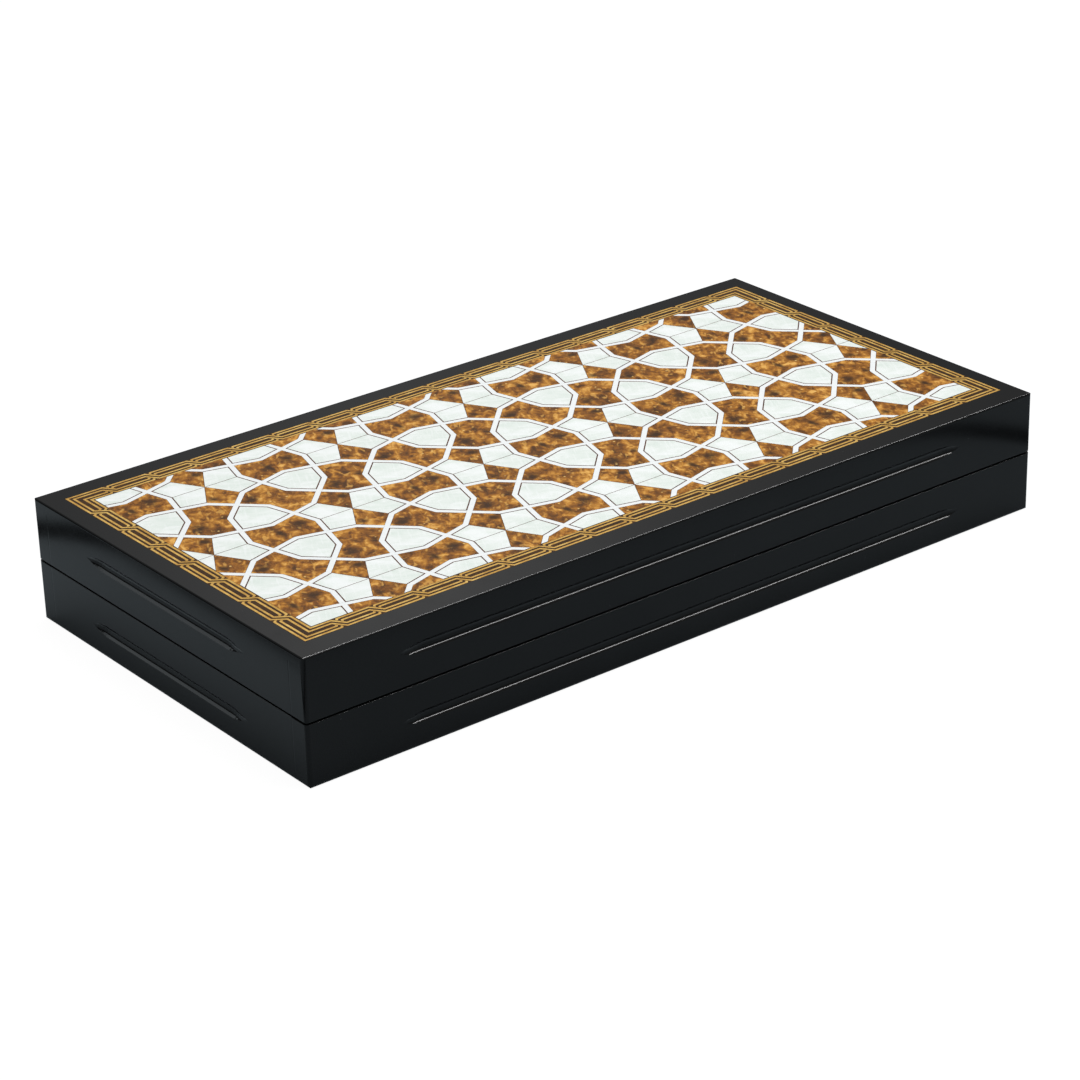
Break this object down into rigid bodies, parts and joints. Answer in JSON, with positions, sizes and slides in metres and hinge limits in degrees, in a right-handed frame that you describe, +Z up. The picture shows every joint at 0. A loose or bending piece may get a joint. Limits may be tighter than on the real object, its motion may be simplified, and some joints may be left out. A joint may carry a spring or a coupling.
{
  "type": "folding backgammon board",
  "caption": "Folding game board case: two lacquered trays hinged along one long side, with strapwork inlay on the lid and a playing field with loose checkers and dice inside.",
  "frame": {"origin": "centre of the case's flat underside, left out the hinge barrels at the back", "axes": "+X along the case to the right as seen from its opening side, +Y from the opening side to the hinges, +Z up"},
  "size_m": [0.481, 0.2462, 0.069],
  "materials": {
    "black_lacquer": "satin-gloss black lacquer over wood",
    "field_veneer": "lacquered burl veneer",
    "pearl_veneer": "polished pearl veneer under lacquer",
    "dark_veneer": "lacquered dark wood veneer",
    "dark_ground": "dark brown veneer under lacquer",
    "white_strap": "white inlay strips under lacquer",
    "pearl_tile": "pale marbled pearl inlay under lacquer",
    "burl_tile": "mottled burl veneer under lacquer",
    "gilt_line": "gilt lines under lacquer",
    "hinge_brass": "polished brass",
    "screw_brass": "brass",
    "magnet_nickel": "nickel-plated",
    "light_checker": "polished pale wood",
    "dark_checker": "polished dark wood",
    "dice_ivory": "polished resin with dark pips"
  },
  "bodies": {
    "lower_case": {"base_panel": "black_lacquer", "lower_front_rail": "black_lacquer", "lower_back_rail": "black_lacquer", "lower_left_rail": "black_lacquer", "lower_right_rail": "black_lacquer", "lower_board": "field_veneer", "lower_pearl_points": "pearl_veneer", "lower_dark_points": "dark_veneer", "left_hinge_lower_leaf": "hinge_brass", "left_hinge_pin": "hinge_brass", "right_hinge_lower_leaf": "hinge_brass", "right_hinge_pin": "hinge_brass", "lower_hinge_screws": "screw_brass", "lower_magnets": "magnet_nickel", "light_checkers": "light_checker", "dark_checkers": "dark_checker", "dice": "dice_ivory"},
    "lid": {"lid_panel": "black_lacquer", "lid_front_rail": "black_lacquer", "lid_back_rail": "black_lacquer", "lid_left_rail": "black_lacquer", "lid_right_rail": "black_lacquer", "lid_board": "field_veneer", "lid_pearl_points": "pearl_veneer", "lid_dark_points": "dark_veneer", "inlay_ground": "dark_ground", "inlay_straps": "white_strap", "inlay_pearl_tiles": "pearl_tile", "inlay_burl_tiles": "burl_tile", "inlay_gilt_border": "gilt_line", "left_hinge_lid_leaf": "hinge_brass", "right_hinge_lid_leaf": "hinge_brass", "lid_hinge_screws": "screw_brass", "lid_magnets": "magnet_nickel"}
  },
  "joints": [
    {"name": "lid_hinge", "type": "hinge", "parent": "lower_case", "child": "lid", "pos_m": [0, 0.12245, 0.0345], "axis": [-1, 0, 0], "range_deg": [0, 180]}
  ]
}
